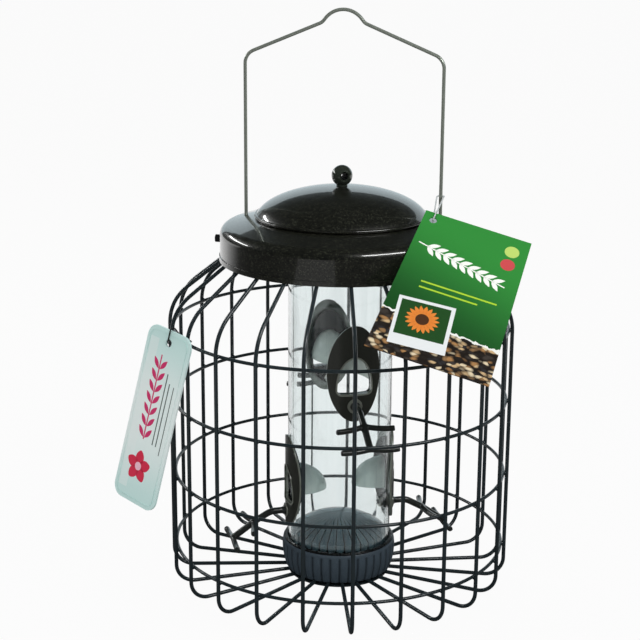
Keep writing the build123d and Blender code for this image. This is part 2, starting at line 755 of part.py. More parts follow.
# Handle: one bent rod whose feet turn out through the roof's wall
foot_tip_x = roof_r + handle_foot_past
hook_slope = math.tan(math.radians(handle_hook_slope))
shoulder_slope = math.tan(math.radians(handle_slope))
handle_top_z = handle_peak_z - handle_hook_r + handle_hook_r * math.hypot(1, hook_slope)
hook_x = (handle_top_z - handle_corner_z - handle_x * shoulder_slope) / (hook_slope - shoulder_slope)
hook_z = handle_top_z - hook_x * hook_slope
handle_half = (
    (foot_tip_x, handle_foot_z),
    (handle_x, handle_foot_z),
    (handle_x, handle_corner_z),
    (hook_x, hook_z),
)
handle_bends = (handle_foot_bend, handle_corner_bend, handle_hook_bend)
handle_points = [(-x, z) for x, z in handle_half] + [(0, handle_top_z)] + list(reversed(handle_half))
with BuildPart() as handle:
    with BuildLine(Plane.XZ) as handle_path:
        FilletPolyline(*handle_points, radius=handle_bends + (handle_hook_r,) + handle_bends[::-1])
    with BuildSketch(Plane(origin=handle_path.line @ 0, z_dir=handle_path.line % 0)):
        Circle(handle_r)
    sweep(path=handle_path.line)
save(handle, "handle")

# Push-on caps on the handle's feet
cap_start_x = roof_r + seat_gap
cap_end_x = foot_tip_x + end_cap_past
cap_length = cap_end_x - cap_start_x
groove_start_x, groove_end_x = [cap_start_x + share * cap_length for share in end_cap_shares]
foot_hole_r = handle_r + weld_gap
with BuildPart() as handle_end_caps:
    for side in (-1, 1):
        with BuildSketch(facing_plane(side * 90, cap_start_x, handle_foot_z)):
            Circle(end_cap_d / 2)
            Circle(foot_hole_r, mode=Mode.SUBTRACT)
        extrude(amount=foot_tip_x + weld_gap - cap_start_x)
        with BuildSketch(facing_plane(side * 90, foot_tip_x + weld_gap, handle_foot_z)):
            Circle(end_cap_d / 2)
        extrude(amount=cap_end_x - foot_tip_x - weld_gap)
        with BuildSketch(facing_plane(side * 90, groove_start_x, handle_foot_z)):
            Circle(end_cap_d / 2 + cut_over)
            Circle(end_cap_groove_d / 2, mode=Mode.SUBTRACT)
        extrude(amount=groove_end_x - groove_start_x, mode=Mode.SUBTRACT)
save(handle_end_caps, "handle_end_caps")

# Card with a hole in its upper left corner. It leans on the roof's edge.
card_plane = sheet_plane(
    roof_r + card_past_roof, card_turn, roof_z - card_drop, card_face_turn, card_face_tilt, card_roll
)
card_hole = (card_hole_in - card_top_w / 2, card_h / 2 - card_hole_in)
with BuildPart() as hang_card:
    with BuildSketch(card_plane):
        with BuildLine():
            Polyline(
                (-card_top_w / 2, card_h / 2),
                (card_top_w / 2, card_h / 2),
                (card_bottom_w / 2, -card_h / 2),
                (-card_bottom_w / 2, -card_h / 2),
                close=True,
            )
        make_face()
        with Locations(card_hole):
            Circle(card_hole_r, mode=Mode.SUBTRACT)
    extrude(amount=card_t / 2, both=True)
save(hang_card, "hang_card")

# Plastic tag with round corners. It hangs in front of the cage.
tag_plane = sheet_plane(
    cage_r + tag_off_cage, tag_turn, top_ring_z - tag_drop, tag_face_turn, tag_face_tilt, tag_roll
)
tag_hole = (0, tag_h / 2 - tag_hole_in)
with BuildPart() as plastic_tag:
    with BuildSketch(tag_plane):
        RectangleRounded(tag_w, tag_h, tag_corner_r)
        with Locations(tag_hole):
            Circle(tag_hole_r, mode=Mode.SUBTRACT)
    extrude(amount=tag_t / 2, both=True)
save(plastic_tag, "plastic_tag")

# Ties: closed loops, each through a sheet's hole, over its top edge and round a wire
def tie_loop(sheet, hole, sheet_t, hole_in, wire_centre, wire_turn, wire_half):
    """One tie as two bent halves that meet in the hole and behind the wire."""
    face_out = sheet_t / 2 + tie_room + tie_r
    over_edge = hole[1] + hole_in + tie_over_edge
    at_sheet = [
        sheet.from_local_coords(Vector(hole[0], up, out))
        for up, out in ((hole[1], face_out), (over_edge, face_out), (over_edge, -face_out))
    ]
    behind_hole = sheet.from_local_coords(Vector(hole[0], hole[1], -face_out))
    reach = wire_half + tie_room + tie_r
    near = out_from_axis(wire_turn) * reach
    right = across(wire_turn) * reach
    at_wire = [wire_centre + near + right, wire_centre - near + right]
    back_from_wire = [wire_centre - near - right, wire_centre + near - right]
    sheet_bends = [tie_bend_r] * len(at_sheet)
    wire_bends = [reach * tie_wrap_share] * len(at_wire)
    hole_middle = (behind_hole + at_sheet[0]) * 0.5
    wire_middle = wire_centre - near
    with BuildPart() as loop:
        for corners, bends, start, end in (
            (at_sheet + at_wire, sheet_bends + wire_bends, hole_middle, wire_middle),
            (back_from_wire + [behind_hole], wire_bends + [tie_bend_r], wire_middle, hole_middle),
        ):
            with BuildLine() as path:
                FilletPolyline(start, *corners, end, radius=bends)
            with BuildSketch(Plane(origin=start, z_dir=corners[0] - start)):
                Circle(tie_r)
            sweep(path=path.line)
    return loop


card_tie = tie_loop(
    card_plane,
    card_hole,
    card_t,
    card_hole_in,
    Vector(handle_x, 0, card_tie_z),
    0,
    handle_r,
)
save(card_tie, "card_tie")

tag_tie_z = top_ring_z + tag_tie_over_ring
tag_wire_turn = wire_turn + tag_wire * wire_step
tag_wire_r = cage_r - upright_inset(tag_tie_z)
tag_tie = tie_loop(
    tag_plane,
    tag_hole,
    tag_t,
    tag_hole_in,
    out_from_axis(tag_wire_turn) * tag_wire_r + Vector(0, 0, tag_tie_z),
    tag_wire_turn,
    wire_r,
)
save(tag_tie, "tag_tie")
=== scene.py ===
import math

import bmesh
import bpy
from mathutils import Matrix, Vector


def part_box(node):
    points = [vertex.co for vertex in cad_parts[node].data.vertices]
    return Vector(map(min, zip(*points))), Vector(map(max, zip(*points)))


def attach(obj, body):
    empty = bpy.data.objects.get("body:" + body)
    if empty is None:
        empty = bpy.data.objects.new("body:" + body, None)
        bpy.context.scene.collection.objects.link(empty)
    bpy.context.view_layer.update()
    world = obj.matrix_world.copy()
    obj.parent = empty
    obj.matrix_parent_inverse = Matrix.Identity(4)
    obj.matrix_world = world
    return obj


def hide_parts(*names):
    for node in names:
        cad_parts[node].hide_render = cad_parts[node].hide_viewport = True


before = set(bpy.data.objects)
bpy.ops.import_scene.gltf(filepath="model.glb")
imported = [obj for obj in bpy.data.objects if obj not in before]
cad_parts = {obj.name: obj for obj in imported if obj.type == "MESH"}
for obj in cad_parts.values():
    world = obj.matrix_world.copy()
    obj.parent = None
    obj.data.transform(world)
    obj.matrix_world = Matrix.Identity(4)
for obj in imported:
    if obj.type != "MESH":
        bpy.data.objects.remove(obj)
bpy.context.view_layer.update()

scene = bpy.context.scene


# Camera. The photograph looks down on the feeder a little, through a long lens, from 13.7 degrees
# to the right of the handle's plane.
camera_turn = math.radians(13.7)
camera_dip = math.radians(15.122)
camera_roll = 0.00626
camera_stand = (0.24047, -1.04977, 0.4844)
look = Vector((
    -math.sin(camera_turn) * math.cos(camera_dip),
    math.cos(camera_turn) * math.cos(camera_dip),
    -math.sin(camera_dip),
))
level = Vector((math.cos(camera_turn), math.sin(camera_turn), 0))
rise = level.cross(look)
camera_right = level * math.cos(camera_roll) + rise * math.sin(camera_roll)
camera_up = rise * math.cos(camera_roll) - level * math.sin(camera_roll)
camera = bpy.data.objects.new("camera", bpy.data.cameras.new("camera"))
scene.collection.objects.link(camera)
camera.data.sensor_width = 36
camera.data.lens = 86.35
camera.data.clip_start = 0.05
camera.data.clip_end = 50
camera.matrix_world = (
    Matrix.Translation(camera_stand)
    @ Matrix((camera_right, camera_up, -look)).transposed().to_4x4()
)
scene.camera = camera
scene.view_settings.view_transform = "Standard"


# Studio. A pale floor, and behind it a pale wall that ends a little above the roof, as it shows in
# the enamel; the rest of the room is dim, but for one lit strip of floor in front. Two soft boxes
# draw the bright lines along the roof's turned edges, and an overhead lamp and a fill light the rest.
def linear(code):
    """A colour written as hex becomes the linear value that a shader takes."""
    parts = [int(code[i:i + 2], 16) / 255 for i in (1, 3, 5)]
    return [c / 12.92 if c <= 0.04045 else ((c + 0.055) / 1.055) ** 2.4 for c in parts] + [1]


def add(tree, kind, links=None, **settings):
    """One node with its settings; a link is given as the socket that feeds the input."""
    made = tree.nodes.new(kind)
    for key, value in settings.items():
        setattr(made, key, value)
    for key, value in (links or {}).items():
        if isinstance(value, bpy.types.NodeSocket):
            tree.links.new(value, made.inputs[key])
        else:
            made.inputs[key].default_value = value
    return made


# The paper glows where it is seen, straight or in the gloss; to all other light it is matt, and its
# matt share keeps the object's shadow.
floor_half, floor_top, glow_share = 8, -0.0004, 0.95
strip_middle, strip_half, strip_front, strip_glow = -0.19, 0.34, -0.4, 0.3
paper = bpy.data.materials.new("white_paper_floor")
paper.use_nodes = True
tree = paper.node_tree
tree.nodes.clear()
path = add(tree, "ShaderNodeLightPath")
spot = add(tree, "ShaderNodeTexCoord")
part = add(tree, "ShaderNodeSeparateXYZ", {0: spot.outputs["Object"]})
behind = add(tree, "ShaderNodeMapRange", {"Value": part.outputs["Y"], "From Min": 0.1, "From Max": 0.6,
                                          "To Min": 0.03, "To Max": 0.95})
strip = add(tree, "ShaderNodeMath", {0: part.outputs["X"], 1: strip_middle, 2: strip_half},
            operation="COMPARE")
before = add(tree, "ShaderNodeMath", {0: part.outputs["Y"], 1: strip_front}, operation="LESS_THAN")
strip = add(tree, "ShaderNodeMath", {0: strip.outputs[0], 1: before.outputs[0]}, operation="MULTIPLY")
strip = add(tree, "ShaderNodeMath", {0: strip.outputs[0], 1: strip_glow}, operation="MULTIPLY")
shown = add(tree, "ShaderNodeMath", {0: strip.outputs[0], 1: behind.outputs[0]}, operation="MAXIMUM")
mirrored = add(tree, "ShaderNodeMath", {0: path.outputs["Is Glossy Ray"], 1: shown.outputs[0]},
               operation="MULTIPLY")
straight = add(tree, "ShaderNodeMath", {0: path.outputs["Is Camera Ray"],
                                        1: path.outputs["Is Transmission Ray"]}, operation="MAXIMUM")
strength = add(tree, "ShaderNodeMath", {0: straight.outputs[0], 1: mirrored.outputs[0]}, operation="MAXIMUM")
seen = add(tree, "ShaderNodeMath", {0: straight.outputs[0], 1: path.outputs["Is Glossy Ray"]},
           operation="MAXIMUM")
share = add(tree, "ShaderNodeMath", {0: seen.outputs[0], 1: glow_share}, operation="MULTIPLY")
matt = add(tree, "ShaderNodeBsdfDiffuse", {"Color": linear("#b4b4b4")})
glow = add(tree, "ShaderNodeEmission", {"Color": linear("#ffffff"), "Strength": strength.outputs[0]})
mixed = add(tree, "ShaderNodeMixShader", {0: share.outputs[0], 1: matt.outputs[0], 2: glow.outputs[0]})
add(tree, "ShaderNodeOutputMaterial", {"Surface": mixed.outputs[0]})

floor_mesh = bpy.data.meshes.new("floor")
bm = bmesh.new()
bmesh.ops.create_grid(bm, x_segments=1, y_segments=1, size=floor_half)
bmesh.ops.translate(bm, verts=bm.verts, vec=(0, 0, floor_top))
bm.to_mesh(floor_mesh)
bm.free()
floor_mesh.materials.append(paper)
floor = bpy.data.objects.new("floor", floor_mesh)
scene.collection.objects.link(floor)

# The wall stands behind the object; its light shows in the gloss, and a weak light from all round
# falls on the matt sides.
wall_glow, room_glow, ambient_glow = 1.0, 0.03, 0.42
world = bpy.data.worlds.new("white_wall_in_dim_room")
scene.world = world
world.use_nodes = True
tree = world.node_tree
tree.nodes.clear()
path = add(tree, "ShaderNodeLightPath")
aim = add(tree, "ShaderNodeTexCoord")
part = add(tree, "ShaderNodeSeparateXYZ", {0: aim.outputs["Generated"]})
wall_side = add(tree, "ShaderNodeMapRange", {"Value": part.outputs["Y"], "From Min": 0.74,
                                             "From Max": 0.77}, interpolation_type="SMOOTHSTEP")
wall_top = add(tree, "ShaderNodeMapRange", {"Value": part.outputs["Z"], "From Min": 0.38, "From Max": 0.4,
                                            "To Min": 1, "To Max": 0}, interpolation_type="SMOOTHSTEP")
wall = add(tree, "ShaderNodeMath", {0: wall_side.outputs[0], 1: wall_top.outputs[0]}, operation="MULTIPLY")
wall = add(tree, "ShaderNodeMath", {0: wall.outputs[0], 1: wall_glow, 2: room_glow},
           operation="MULTIPLY_ADD")
mirrored = add(tree, "ShaderNodeMath", {0: path.outputs["Is Glossy Ray"], 1: wall.outputs[0]},
               operation="MULTIPLY")
straight = add(tree, "ShaderNodeMath", {0: path.outputs["Is Camera Ray"],
                                        1: path.outputs["Is Transmission Ray"]}, operation="MAXIMUM")
ambient = add(tree, "ShaderNodeMath", {0: path.outputs["Is Diffuse Ray"], 1: ambient_glow},
              operation="MULTIPLY")
strength = add(tree, "ShaderNodeMath", {0: straight.outputs[0], 1: mirrored.outputs[0]}, operation="MAXIMUM")
strength = add(tree, "ShaderNodeMath", {0: strength.outputs[0], 1: ambient.outputs[0]}, operation="MAXIMUM")
tint = add(tree, "ShaderNodeMix", {0: path.outputs["Is Glossy Ray"], 6: linear("#ffffff"),
                                   7: linear("#d2e0e5")}, data_type="RGBA")
surround = add(tree, "ShaderNodeBackground", {"Color": tint.outputs[2], "Strength": strength.outputs[0]})
add(tree, "ShaderNodeOutputWorld", {"Surface": surround.outputs[0]})

# Each lamp's place, size and power. Only the soft boxes show in the gloss.
lamps = {
    "soft_box_left": ((-1.3, 0.36, 0.74), (1.0, 0.1), 4.5),
    "soft_box_right": ((0.86, -0.56, 0.94), (0.9, 0.14), 7),
    "front_fill": ((-0.5, -1.9, 0.9), (0.9, 0.9), 8),
    "overhead": ((0.0, 0.1, 1.9), (1.0, 0.7), 8),
}
lamp_target = Vector((0, 0, 0.2))
for name, (place, size, power) in lamps.items():
    lamp = bpy.data.lights.new(name, "AREA")
    lamp.shape = "RECTANGLE"
    lamp.size, lamp.size_y = size
    lamp.energy = power
    lit = bpy.data.objects.new(name, lamp)
    scene.collection.objects.link(lit)
    lit.visible_glossy = name.startswith("soft_box")
    aim = lamp_target - Vector(place)
    lit.matrix_world = Matrix.Translation(place) @ aim.to_track_quat("-Z", "Y").to_matrix().to_4x4()


# Cage. Steel rods bent to shape, spot welded to four rings and dipped in black powder, which
# flows into a thin satin skin with a faint orange peel and gathers in a bead at each weld.
def new_material(name):
    """A new material, its node tree and its shader."""
    material = bpy.data.materials.new(name)
    material.use_nodes = True
    return material, material.node_tree, material.node_tree.nodes["Principled BSDF"]


wire_coat, tree, shader = new_material("black_powder_coat")
spot = add(tree, "ShaderNodeTexCoord")
peel = add(tree, "ShaderNodeTexNoise", {"Vector": spot.outputs["Object"], "Scale": 1 / 0.0016, "Detail": 2})
cloud = add(tree, "ShaderNodeTexNoise", {"Vector": spot.outputs["Object"], "Scale": 1 / 0.03, "Detail": 3})
tone = add(tree, "ShaderNodeMix", {0: cloud.outputs["Fac"], 6: linear("#182023"), 7: linear("#273236")},
           data_type="RGBA")
gloss = add(tree, "ShaderNodeMapRange", {"Value": cloud.outputs["Fac"], "To Min": 0.26, "To Max": 0.4})
bump = add(tree, "ShaderNodeBump", {"Height": peel.outputs["Fac"], "Strength": 0.12, "Distance": 0.00012})
tree.links.new(tone.outputs[2], shader.inputs["Base Color"])
tree.links.new(gloss.outputs[0], shader.inputs["Roughness"])
tree.links.new(bump.outputs[0], shader.inputs["Normal"])
shader.inputs["Coat Weight"].default_value = 0.5
shader.inputs["Coat Roughness"].default_value = 0.16


def paint(material, *names):
    """Gives CAD nodes a material in every slot they have."""
    for name in names:
        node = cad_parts[name]
        if not node.material_slots:
            node.data.materials.append(material)
        for place in node.material_slots:
            place.material = material


wires = sorted(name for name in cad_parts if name.startswith("cage_wire_"))
rings = sorted(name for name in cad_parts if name.startswith("cage_ring_"))
paint(wire_coat, *wires, *rings, "top_hoop", "top_plate", "bottom_plate")


def show(name, bm, material, body, smooth=True):
    """Turns a finished bmesh into a piece of the object that rides on a body."""
    mesh = bpy.data.meshes.new(name)
    bm.to_mesh(mesh)
    bm.free()
    if smooth:
        mesh.shade_smooth()
    mesh.materials.append(material)
    piece = bpy.data.objects.new(name, mesh)
    scene.collection.objects.link(piece)
    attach(piece, body)
    return piece


# A bead of powder on every weld, wider and taller than it is deep.
wire_count = len(wires)
first_turn = math.radians(17.5)
ring_wire_r, bead_out = 0.0012, 0.00122
bead_size = (0.0019, 0.0011, 0.0017)
ring_levels = [(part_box(name)[0].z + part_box(name)[1].z) / 2 for name in rings]
ring_middle = [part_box(name)[1].x - ring_wire_r for name in rings]
bm = bmesh.new()
for ring_z, ring_r in zip(ring_levels, ring_middle):
    for number in range(wire_count):
        turn = first_turn + number * math.tau / wire_count
        out = Vector((math.sin(turn), -math.cos(turn), 0))
        side = Vector((math.cos(turn), math.sin(turn), 0))
        place = Matrix((side, out, Vector((0, 0, 1)))).transposed().to_4x4()
        place.translation = out * (ring_r + bead_out) + Vector((0, 0, ring_z))
        bead = bmesh.ops.create_uvsphere(bm, u_segments=10, v_segments=6, radius=1)
        bmesh.ops.scale(bm, verts=bead["verts"], vec=bead_size)
        bmesh.ops.transform(bm, verts=bead["verts"], matrix=place)
show("weld_beads", bm, wire_coat, "feeder")


# Roof and lid. Pressed steel with a thick bronze black enamel that holds fine metal flakes: it
# shows a pale sheen at its turned edges and tiny sparks on its flat sides.
enamel, tree, shader = new_material("bronze_black_flake_enamel")
spot = add(tree, "ShaderNodeTexCoord")
flake = add(tree, "ShaderNodeTexVoronoi", {"Vector": spot.outputs["Object"], "Scale": 1 / 0.0008})
spark = add(tree, "ShaderNodeSeparateColor", {0: flake.outputs["Color"]})
spark = add(tree, "ShaderNodeMapRange", {"Value": spark.outputs[0], "From Min": 0.8, "From Max": 1.0})
grit = add(tree, "ShaderNodeTexNoise", {"Vector": spot.outputs["Object"], "Scale": 1 / 0.0011, "Detail": 2})
grit = add(tree, "ShaderNodeMapRange", {"Value": grit.outputs["Fac"], "From Min": 0.36, "From Max": 0.64})
ground = add(tree, "ShaderNodeMix", {0: grit.outputs[0], 6: linear("#0d0e0b"), 7: linear("#22231c")},
             data_type="RGBA")
tone = add(tree, "ShaderNodeMix", {0: spark.outputs[0], 6: ground.outputs[2], 7: linear("#3c3e34")},
           data_type="RGBA")
peel = add(tree, "ShaderNodeTexNoise", {"Vector": spot.outputs["Object"], "Scale": 1 / 0.0025, "Detail": 2})
bump = add(tree, "ShaderNodeBump", {"Height": peel.outputs["Fac"], "Strength": 0.12, "Distance": 0.0001})
tree.links.new(tone.outputs[2], shader.inputs["Base Color"])
tree.links.new(bump.outputs[0], shader.inputs["Normal"])
shader.inputs["Metallic"].default_value = 0.25
shader.inputs["Roughness"].default_value = 0.3
shader.inputs["Coat Weight"].default_value = 1.0
shader.inputs["Coat Roughness"].default_value = 0.04
shader.inputs["Coat IOR"].default_value = 1.6
paint(enamel, "roof", "lid_dome", "lid_skirt")


# Knob. A turned ball in the same enamel, dipped and polished brighter, with a countersunk cross
# hole. The hole's wall is left rough and dull, and its colour is painted near black as shade inside it.
knob_coat, tree, shader = new_material("turned_gloss_black_enamel")
spot = add(tree, "ShaderNodeTexCoord")
knob_low, knob_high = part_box("knob_ball")
knob_middle = (0, 0, knob_high.z - (knob_high.x - knob_low.x) / 2)
hole_turn, hole_r = math.radians(30.7), 0.00265
square = add(tree, "ShaderNodeMapping", {"Vector": spot.outputs["Object"], "Location": knob_middle,
                                         "Rotation": (0, 0, hole_turn)}, vector_type="TEXTURE")
square = add(tree, "ShaderNodeVectorMath", {0: square.outputs[0], 1: (1, 0, 1)}, operation="MULTIPLY")
from_axis = add(tree, "ShaderNodeVectorMath", {0: square.outputs[0]}, operation="LENGTH")
in_hole = add(tree, "ShaderNodeMath", {0: from_axis.outputs["Value"], 1: hole_r}, operation="LESS_THAN")
grit = add(tree, "ShaderNodeTexNoise", {"Vector": spot.outputs["Object"], "Scale": 1 / 0.0009, "Detail": 2})
tone = add(tree, "ShaderNodeMix", {0: grit.outputs["Fac"], 6: linear("#20261f"), 7: linear("#41483f")},
           data_type="RGBA")
# Painted shade: inside the hole the colour turns near black.
tone = add(tree, "ShaderNodeMix", {0: in_hole.outputs[0], 6: tone.outputs[2], 7: linear("#050505")},
           data_type="RGBA")
gloss = add(tree, "ShaderNodeMapRange", {"Value": in_hole.outputs[0], "To Min": 0.22, "To Max": 0.8})
drilled = add(tree, "ShaderNodeMapRange", {"Value": in_hole.outputs[0], "To Min": 0.9, "To Max": 0})
tree.links.new(tone.outputs[2], shader.inputs["Base Color"])
tree.links.new(gloss.outputs[0], shader.inputs["Roughness"])
tree.links.new(drilled.outputs[0], shader.inputs["Coat Weight"])
shader.inputs["Metallic"].default_value = 0.35
shader.inputs["Coat Roughness"].default_value = 0.05
paint(knob_coat, "knob_ball")


# Handle. One drawn steel rod, bent cold and dipped in a thin dark lacquer that lets the metal show
# through as pewter, with fine draw lines along its legs.
pewter, tree, shader = new_material("lacquered_drawn_steel_rod")
spot = add(tree, "ShaderNodeTexCoord")
drawn = add(tree, "ShaderNodeMapping", {"Vector": spot.outputs["Object"], "Scale": (1, 1, 0.06)})
streak = add(tree, "ShaderNodeTexNoise", {"Vector": drawn.outputs[0], "Scale": 1 / 0.0006, "Detail": 3})
tone = add(tree, "ShaderNodeMix", {0: streak.outputs["Fac"], 6: linear("#7c837a"), 7: linear("#b3baaf")},
           data_type="RGBA")
gloss = add(tree, "ShaderNodeMapRange", {"Value": streak.outputs["Fac"], "To Min": 0.26, "To Max": 0.42})
bump = add(tree, "ShaderNodeBump", {"Height": streak.outputs["Fac"], "Strength": 0.15, "Distance": 0.00008})
tree.links.new(tone.outputs[2], shader.inputs["Base Color"])
tree.links.new(gloss.outputs[0], shader.inputs["Roughness"])
tree.links.new(bump.outputs[0], shader.inputs["Normal"])
shader.inputs["Metallic"].default_value = 0.55
shader.inputs["Coat Weight"].default_value = 0.3
shader.inputs["Coat Roughness"].default_value = 0.15
paint(pewter, "handle")


# Soft parts. The push-on caps of the handle's feet and the funnel are moulded in black vinyl, dull
# and faintly mottled from the mould.
soft_black, tree, shader = new_material("moulded_soft_black_vinyl")
spot = add(tree, "ShaderNodeTexCoord")
mottle = add(tree, "ShaderNodeTexNoise", {"Vector": spot.outputs["Object"], "Scale": 1 / 0.0012, "Detail": 3})
tone = add(tree, "ShaderNodeMix", {0: mottle.outputs["Fac"], 6: linear("#0f1112"), 7: linear("#1d1f21")},
           data_type="RGBA")
gloss = add(tree, "ShaderNodeMapRange", {"Value": mottle.outputs["Fac"], "To Min": 0.4, "To Max": 0.62})
bump = add(tree, "ShaderNodeBump", {"Height": mottle.outputs["Fac"], "Strength": 0.2, "Distance": 0.0001})
tree.links.new(tone.outputs[2], shader.inputs["Base Color"])
tree.links.new(gloss.outputs[0], shader.inputs["Roughness"])
tree.links.new(bump.outputs[0], shader.inputs["Normal"])
paint(soft_black, "handle_end_caps", "fill_funnel")


# Screw and nuts. Steel, turned and plated in zinc with a faint blue and yellow bloom.
zinc, tree, shader = new_material("turned_zinc_plated_steel")
spot = add(tree, "ShaderNodeTexCoord")
bloom = add(tree, "ShaderNodeTexNoise", {"Vector": spot.outputs["Object"], "Scale": 1 / 0.003, "Detail": 2})
tone = add(tree, "ShaderNodeMix", {0: bloom.outputs["Fac"], 6: linear("#aab2ba"), 7: linear("#c2bda9")},
           data_type="RGBA")
gloss = add(tree, "ShaderNodeMapRange", {"Value": bloom.outputs["Fac"], "To Min": 0.24, "To Max": 0.42})
tree.links.new(tone.outputs[2], shader.inputs["Base Color"])
tree.links.new(gloss.outputs[0], shader.inputs["Roughness"])
shader.inputs["Metallic"].default_value = 1.0
paint(zinc, "knob_screw", "perch_nuts")


# Seed tube. Extruded clear plastic with a faint grey green tint, bright along its sides. Long
# shallow die lines from the extruder run down it.
clear, tree, shader = new_material("extruded_clear_polycarbonate")
spot = add(tree, "ShaderNodeTexCoord")
drawn = add(tree, "ShaderNodeMapping", {"Vector": spot.outputs["Object"], "Scale": (1, 1, 0.03)})
die = add(tree, "ShaderNodeTexNoise", {"Vector": drawn.outputs[0], "Scale": 1 / 0.005, "Detail": 2})
tone = add(tree, "ShaderNodeMix", {0: die.outputs["Fac"], 6: linear("#eef4f4"), 7: linear("#f8fbfb")},
           data_type="RGBA")
bump = add(tree, "ShaderNodeBump", {"Height": die.outputs["Fac"], "Strength": 0.05, "Distance": 0.0001})
tree.links.new(tone.outputs[2], shader.inputs["Base Color"])
tree.links.new(bump.outputs[0], shader.inputs["Normal"])
shader.inputs["Roughness"].default_value = 0.03
shader.inputs["IOR"].default_value = 1.45
shader.inputs["Transmission Weight"].default_value = 1.0
paint(clear, "seed_tube")


# Ports. Cast plates in dark bronze enamel, rough from the mould. The door's lip, the perch's boss and
# the plate's rounded rim are painted a brighter, glossier bronze as a painted highlight on their edges.
casting, tree, shader = new_material("bronze_black_cast_metal")
spot = add(tree, "ShaderNodeTexCoord")
grain = add(tree, "ShaderNodeTexNoise", {"Vector": spot.outputs["Object"], "Scale": 1 / 0.0007, "Detail": 3})
tone = add(tree, "ShaderNodeMix", {0: grain.outputs["Fac"], 6: linear("#20221d"), 7: linear("#3d4038")},
           data_type="RGBA")
# The lip and the boss stand further from the tube's axis than the plate's face, and the rim nearer.
tube_out_r, plate_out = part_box("seed_tube")[1].x, 0.00215
plate_face_r = tube_out_r + plate_out
lip_from, lip_to, rim_from, rim_to, edge_highlight_share = 0.0003, 0.0006, -0.0001, -0.0004, 0.85
spread = add(tree, "ShaderNodeVectorMath", {0: spot.outputs["Object"], 1: (1, 1, 0)}, operation="MULTIPLY")
spread = add(tree, "ShaderNodeVectorMath", {0: spread.outputs[0]}, operation="LENGTH")
lip = add(tree, "ShaderNodeMapRange", {"Value": spread.outputs["Value"], "To Max": edge_highlight_share,
                                       "From Min": plate_face_r + lip_from,
                                       "From Max": plate_face_r + lip_to})
rim = add(tree, "ShaderNodeMapRange", {"Value": spread.outputs["Value"], "To Max": edge_highlight_share,
                                       "From Min": plate_face_r + rim_from,
                                       "From Max": plate_face_r + rim_to})
# Painted highlight: the lip, the boss and the rim turn brighter and glossier.
edge_highlight = add(tree, "ShaderNodeMath", {0: lip.outputs[0], 1: rim.outputs[0]}, operation="MAXIMUM")
tone = add(tree, "ShaderNodeMix", {0: edge_highlight.outputs[0], 6: tone.outputs[2], 7: linear("#8b9086")},
           data_type="RGBA")
gloss = add(tree, "ShaderNodeMapRange", {"Value": edge_highlight.outputs[0], "To Min": 0.42, "To Max": 0.26})
bump = add(tree, "ShaderNodeBump", {"Height": grain.outputs["Fac"], "Strength": 0.3, "Distance": 0.0001})
tree.links.new(tone.outputs[2], shader.inputs["Base Color"])
tree.links.new(gloss.outputs[0], shader.inputs["Roughness"])
tree.links.new(bump.outputs[0], shader.inputs["Normal"])
shader.inputs["Metallic"].default_value = 0.2
shader.inputs["Coat Weight"].default_value = 0.7
shader.inputs["Coat Roughness"].default_value = 0.16
ports = ("upper_front", "upper_back", "lower_left", "lower_right")
paint(casting, *["port_plate_" + port for port in ports])


# Perches. Cast like a forked twig in one piece with the bolt that holds them, the joints filled with
# soft fillets, then dipped in a gloss black that pools over the bark's dents.
gloss_cast, tree, shader = new_material("dipped_gloss_black_casting")
spot = add(tree, "ShaderNodeTexCoord")
bark = add(tree, "ShaderNodeTexNoise", {"Vector": spot.outputs["Object"], "Scale": 1 / 0.005, "Detail": 3})
tone = add(tree, "ShaderNodeMix", {0: bark.outputs["Fac"], 6: linear("#1a1c1b"), 7: linear("#3c403d")},
           data_type="RGBA")
bump = add(tree, "ShaderNodeBump", {"Height": bark.outputs["Fac"], "Strength": 0.5, "Distance": 0.0005})
tree.links.new(tone.outputs[2], shader.inputs["Base Color"])
tree.links.new(bump.outputs[0], shader.inputs["Normal"])
shader.inputs["Metallic"].default_value = 0.35
shader.inputs["Roughness"].default_value = 0.28
shader.inputs["Coat Weight"].default_value = 0.9
shader.inputs["Coat Roughness"].default_value = 0.08
# Each twig becomes one skin on a fine grid, which is then smoothed into soft fillets.
fillet_grid, smoothing_rounds = 0.00045, 9
for port in ports:
    rough = bpy.data.meshes.new("rough_perch")
    bm = bmesh.new()
    bm.from_mesh(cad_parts["perch_" + port].data)
    bmesh.ops.remove_doubles(bm, verts=bm.verts, dist=0.00001)
    bm.to_mesh(rough)
    bm.free()
    blank = bpy.data.objects.new("rough_perch", rough)
    scene.collection.objects.link(blank)
    filled = blank.modifiers.new("filled", "REMESH")
    filled.mode = "VOXEL"
    filled.voxel_size = fillet_grid
    bm = bmesh.new()
    bm.from_object(blank, bpy.context.evaluated_depsgraph_get())
    bpy.data.objects.remove(blank)
    bpy.data.meshes.remove(rough)
    for _ in range(smoothing_rounds):
        bmesh.ops.smooth_vert(bm, verts=bm.verts, factor=0.5, use_axis_x=True, use_axis_y=True,
                              use_axis_z=True)
    perch = show("twig_perch_" + port, bm, gloss_cast, "feeder")
    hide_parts("perch_" + port)


# Hoods. Smoky translucent mouldings inside the tube, greenish grey, a little cloudy where the
# plastic flowed together. Their flanges lie close against the dark plates and are painted almost black as
# shade.
flange_from, flange_to = 0.0042, 0.0036
smoke, tree, shader = new_material("moulded_smoky_styrene")
spot = add(tree, "ShaderNodeTexCoord")
drawn = add(tree, "ShaderNodeMapping", {"Vector": spot.outputs["Object"], "Scale": (1, 1, 0.25)})
flow = add(tree, "ShaderNodeTexNoise", {"Vector": drawn.outputs[0], "Scale": 1 / 0.006, "Detail": 2})
tone = add(tree, "ShaderNodeMix", {0: flow.outputs["Fac"], 6: linear("#b9c7c0"), 7: linear("#e6f0ea")},
           data_type="RGBA")
spread = add(tree, "ShaderNodeVectorMath", {0: spot.outputs["Object"], 1: (1, 1, 0)}, operation="MULTIPLY")
spread = add(tree, "ShaderNodeVectorMath", {0: spread.outputs[0]}, operation="LENGTH")
